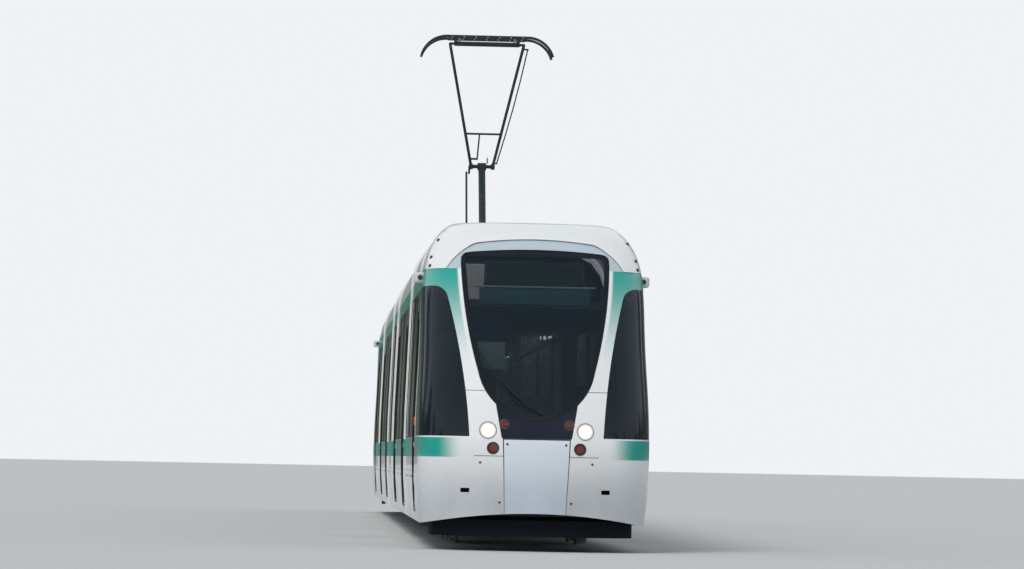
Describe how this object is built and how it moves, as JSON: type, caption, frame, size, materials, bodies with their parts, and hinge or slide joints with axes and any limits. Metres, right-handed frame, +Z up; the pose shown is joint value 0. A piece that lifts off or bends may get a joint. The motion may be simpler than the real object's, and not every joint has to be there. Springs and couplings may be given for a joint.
{
  "type": "articulated low-floor tram",
  "caption": "Five-section low-floor city tram with cabs at both ends, bellows, swivelling sections and a raised single-arm pantograph.",
  "frame": {"origin": "middle of the vehicle, between the flange tips of its wheels", "axes": "+X towards the front cab, +Y to the vehicle's left, +Z up"},
  "size_m": [32.1984, 2.5, 6.7],
  "materials": {
    "body_white": "gloss",
    "black_panel": "gloss",
    "lamp_glass": "clear",
    "pale_plastic": "satin",
    "door_black": "gloss",
    "tinted_glass": "tinted",
    "roof_grey": "satin",
    "floor_grey": "satin",
    "interior_blue": "satin",
    "running_gear": "matt paint",
    "bellows_rubber": "matt",
    "wheel_steel": "worn tread",
    "pantograph_grey": "satin"
  },
  "bodies": {
    "centre_section": {"centre_walls": "body_white", "centre_glazing": "tinted_glass", "centre_roof": "body_white", "centre_floor": "floor_grey", "centre_interior": "interior_blue", "centre_bogie": "running_gear", "bellows_2": "bellows_rubber", "bellows_3": "bellows_rubber", "pantograph_base": "pantograph_grey"},
    "front_link_section": {"front_link_walls": "body_white", "front_link_doors": "door_black", "front_link_glazing": "tinted_glass", "front_link_roof": "body_white", "front_link_roof_unit": "roof_grey", "front_link_floor": "floor_grey", "front_link_interior": "interior_blue", "bellows_1": "bellows_rubber"},
    "front_cab_section": {"front_cab_nose": "body_white", "front_cab_mask": "black_panel", "front_cab_coupler_cover": "body_white", "front_cab_lamps": "lamp_glass", "front_cab_cameras": "pale_plastic", "front_cab_walls": "body_white", "front_cab_doors": "door_black", "front_cab_glazing": "tinted_glass", "front_cab_roof": "body_white", "front_cab_floor": "floor_grey", "front_cab_interior": "interior_blue", "front_cab_bogie": "running_gear"},
    "rear_link_section": {"rear_link_walls": "body_white", "rear_link_doors": "door_black", "rear_link_glazing": "tinted_glass", "rear_link_roof": "body_white", "rear_link_roof_unit": "roof_grey", "rear_link_floor": "floor_grey", "rear_link_interior": "interior_blue", "bellows_4": "bellows_rubber"},
    "rear_cab_section": {"rear_cab_nose": "body_white", "rear_cab_mask": "black_panel", "rear_cab_coupler_cover": "body_white", "rear_cab_lamps": "lamp_glass", "rear_cab_cameras": "pale_plastic", "rear_cab_walls": "body_white", "rear_cab_doors": "door_black", "rear_cab_glazing": "tinted_glass", "rear_cab_roof": "body_white", "rear_cab_floor": "floor_grey", "rear_cab_interior": "interior_blue", "rear_cab_bogie": "running_gear"},
    "pantograph_lower": {"pantograph_lower_arm": "pantograph_grey"},
    "pantograph_rod": {"pantograph_tie_rod": "pantograph_grey"},
    "pantograph_upper": {"pantograph_upper_arm": "pantograph_grey"},
    "pantograph_collector": {"pantograph_head": "pantograph_grey"},
    "axle_1": {"wheelset_1": "wheel_steel"},
    "axle_2": {"wheelset_2": "wheel_steel"},
    "axle_3": {"wheelset_3": "wheel_steel"},
    "axle_4": {"wheelset_4": "wheel_steel"},
    "axle_5": {"wheelset_5": "wheel_steel"},
    "axle_6": {"wheelset_6": "wheel_steel"}
  },
  "joints": [
    {"name": "front_inner_pivot", "type": "hinge", "parent": "centre_section", "child": "front_link_section", "pos_m": [1.7, 0, 0.27], "axis": [0, 0, 1], "range_deg": [-15, 15], "deforming": ["bellows_2"]},
    {"name": "front_outer_pivot", "type": "hinge", "parent": "front_link_section", "child": "front_cab_section", "pos_m": [9.3, 0, 0.27], "axis": [0, 0, 1], "range_deg": [-15, 15], "deforming": ["bellows_1"]},
    {"name": "rear_inner_pivot", "type": "hinge", "parent": "centre_section", "child": "rear_link_section", "pos_m": [-1.7, 0, 0.27], "axis": [0, 0, -1], "range_deg": [-15, 15], "deforming": ["bellows_3"]},
    {"name": "rear_outer_pivot", "type": "hinge", "parent": "rear_link_section", "child": "rear_cab_section", "pos_m": [-9.3, 0, 0.27], "axis": [0, 0, -1], "range_deg": [-15, 15], "deforming": ["bellows_4"]},
    {"name": "axle_1_turn", "type": "hinge", "parent": "front_cab_section", "child": "axle_1", "pos_m": [11.8, 0, 0.317], "axis": [0, 1, 0], "continuous": true},
    {"name": "axle_2_turn", "type": "hinge", "parent": "front_cab_section", "child": "axle_2", "pos_m": [10.2, 0, 0.317], "axis": [0, 1, 0], "continuous": true},
    {"name": "axle_3_turn", "type": "hinge", "parent": "centre_section", "child": "axle_3", "pos_m": [0.8, 0, 0.317], "axis": [0, 1, 0], "continuous": true},
    {"name": "axle_4_turn", "type": "hinge", "parent": "centre_section", "child": "axle_4", "pos_m": [-0.8, 0, 0.317], "axis": [0, 1, 0], "continuous": true},
    {"name": "axle_5_turn", "type": "hinge", "parent": "rear_cab_section", "child": "axle_5", "pos_m": [-10.2, 0, 0.317], "axis": [0, 1, 0], "continuous": true},
    {"name": "axle_6_turn", "type": "hinge", "parent": "rear_cab_section", "child": "axle_6", "pos_m": [-11.8, 0, 0.317], "axis": [0, 1, 0], "continuous": true},
    {"name": "pantograph_fold", "type": "hinge", "parent": "centre_section", "child": "pantograph_lower", "pos_m": [0.5, 0, 3.64], "axis": [0, -1, 0], "range_deg": [-6, 48]},
    {"name": "tie_rod_swing", "type": "hinge", "parent": "centre_section", "child": "pantograph_rod", "pos_m": [0.2, -0.248, 3.58], "axis": [0, -1, 0], "range_deg": [-7, 50]},
    {"name": "knuckle_swing", "type": "hinge", "parent": "pantograph_lower", "child": "pantograph_upper", "pos_m": [-0.51707, 0, 4.98969], "axis": [0, -1, 0], "range_deg": [-97, 13]},
    {"name": "head_level", "type": "hinge", "parent": "pantograph_upper", "child": "pantograph_collector", "pos_m": [0.50034, 0, 6.59907], "axis": [0, -1, 0], "range_deg": [-7, 49]}
  ],
  "couplings": [
    {"joint": "tie_rod_swing", "follows": "pantograph_fold", "ratio": 1.026},
    {"joint": "knuckle_swing", "follows": "pantograph_fold", "ratio": -2},
    {"joint": "head_level", "follows": "pantograph_fold", "ratio": 1}
  ]
}
